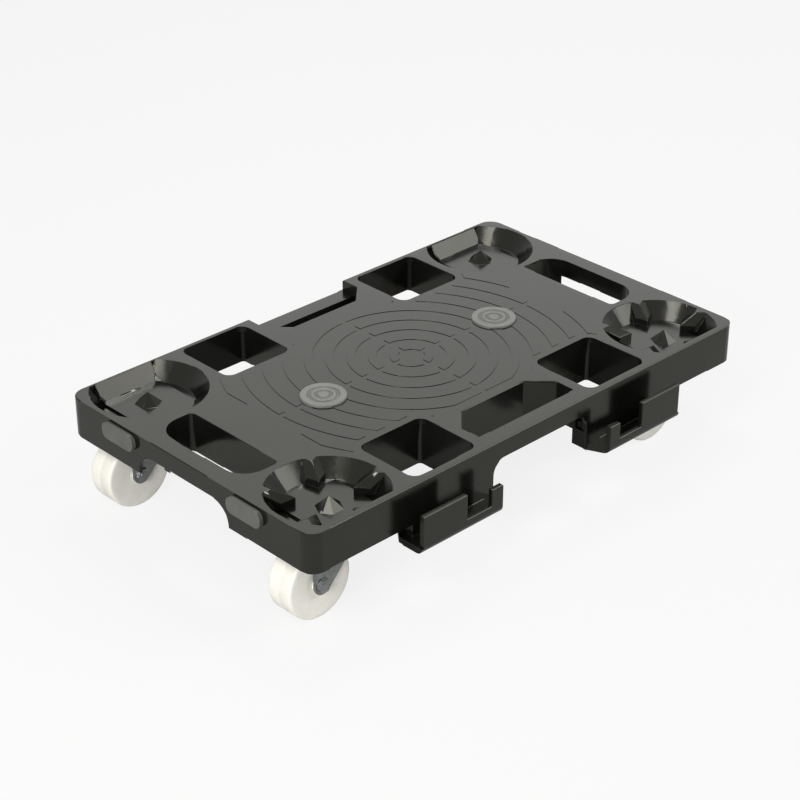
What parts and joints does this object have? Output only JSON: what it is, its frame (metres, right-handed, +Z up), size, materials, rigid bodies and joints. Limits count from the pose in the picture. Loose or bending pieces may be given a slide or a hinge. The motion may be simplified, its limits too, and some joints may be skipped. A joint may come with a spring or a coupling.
{
  "type": "platform dolly",
  "caption": "Low platform dolly: a black moulded deck with hand grips, square wells, round corner recesses, grey rubber pads and side hooks, on white-wheeled swivel casters.",
  "frame": {"origin": "middle of the bounding box on the floor, under the deck", "axes": "+X along the deck's length (the casters trail towards -X), +Y away from the two side hooks, +Z up"},
  "size_m": [0.61, 0.3824, 0.12],
  "materials": {
    "deck_plastic": "semi-gloss moulded black plastic",
    "grey_rubber": "matt grey rubber",
    "zinc_plate": "zinc-plated pressed steel",
    "bright_steel": "bright zinc-plated steel",
    "white_nylon": "satin white nylon"
  },
  "bodies": {
    "deck": {"deck": "deck_plastic", "pad_left": "grey_rubber", "pad_right": "grey_rubber", "bumper_1": "grey_rubber", "bumper_2": "grey_rubber", "bumper_3": "grey_rubber", "bumper_4": "grey_rubber", "plate_1": "zinc_plate", "screws_1": "zinc_plate", "kingpin_1": "bright_steel", "balls_1": "bright_steel", "plate_2": "zinc_plate", "screws_2": "zinc_plate", "kingpin_2": "bright_steel", "balls_2": "bright_steel", "plate_3": "zinc_plate", "screws_3": "zinc_plate", "kingpin_3": "bright_steel", "balls_3": "bright_steel", "plate_4": "zinc_plate", "screws_4": "zinc_plate", "kingpin_4": "bright_steel", "balls_4": "bright_steel"},
    "swivel_1": {"fork_1": "zinc_plate", "axle_1": "bright_steel", "nut_1": "bright_steel", "bush_1": "bright_steel"},
    "wheel_1": {"wheel_1": "white_nylon"},
    "swivel_2": {"fork_2": "zinc_plate", "axle_2": "bright_steel", "nut_2": "bright_steel", "bush_2": "bright_steel"},
    "wheel_2": {"wheel_2": "white_nylon"},
    "swivel_3": {"fork_3": "zinc_plate", "axle_3": "bright_steel", "nut_3": "bright_steel", "bush_3": "bright_steel"},
    "wheel_3": {"wheel_3": "white_nylon"},
    "swivel_4": {"fork_4": "zinc_plate", "axle_4": "bright_steel", "nut_4": "bright_steel", "bush_4": "bright_steel"},
    "wheel_4": {"wheel_4": "white_nylon"}
  },
  "joints": [
    {"name": "caster_1_swivel", "type": "hinge", "parent": "deck", "child": "swivel_1", "pos_m": [-0.235, -0.12375, 0.0955], "axis": [0, 0, 1], "continuous": true},
    {"name": "caster_1_spin", "type": "hinge", "parent": "swivel_1", "child": "wheel_1", "pos_m": [-0.264, -0.12375, 0.0375], "axis": [0, 1, 0], "continuous": true},
    {"name": "caster_2_swivel", "type": "hinge", "parent": "deck", "child": "swivel_2", "pos_m": [0.235, -0.12375, 0.0955], "axis": [0, 0, 1], "continuous": true},
    {"name": "caster_2_spin", "type": "hinge", "parent": "swivel_2", "child": "wheel_2", "pos_m": [0.206, -0.12375, 0.0375], "axis": [0, 1, 0], "continuous": true},
    {"name": "caster_3_swivel", "type": "hinge", "parent": "deck", "child": "swivel_3", "pos_m": [-0.235, 0.14625, 0.0955], "axis": [0, 0, 1], "continuous": true},
    {"name": "caster_3_spin", "type": "hinge", "parent": "swivel_3", "child": "wheel_3", "pos_m": [-0.264, 0.14625, 0.0375], "axis": [0, 1, 0], "continuous": true},
    {"name": "caster_4_swivel", "type": "hinge", "parent": "deck", "child": "swivel_4", "pos_m": [0.235, 0.14625, 0.0955], "axis": [0, 0, 1], "continuous": true},
    {"name": "caster_4_spin", "type": "hinge", "parent": "swivel_4", "child": "wheel_4", "pos_m": [0.206, 0.14625, 0.0375], "axis": [0, 1, 0], "continuous": true}
  ]
}
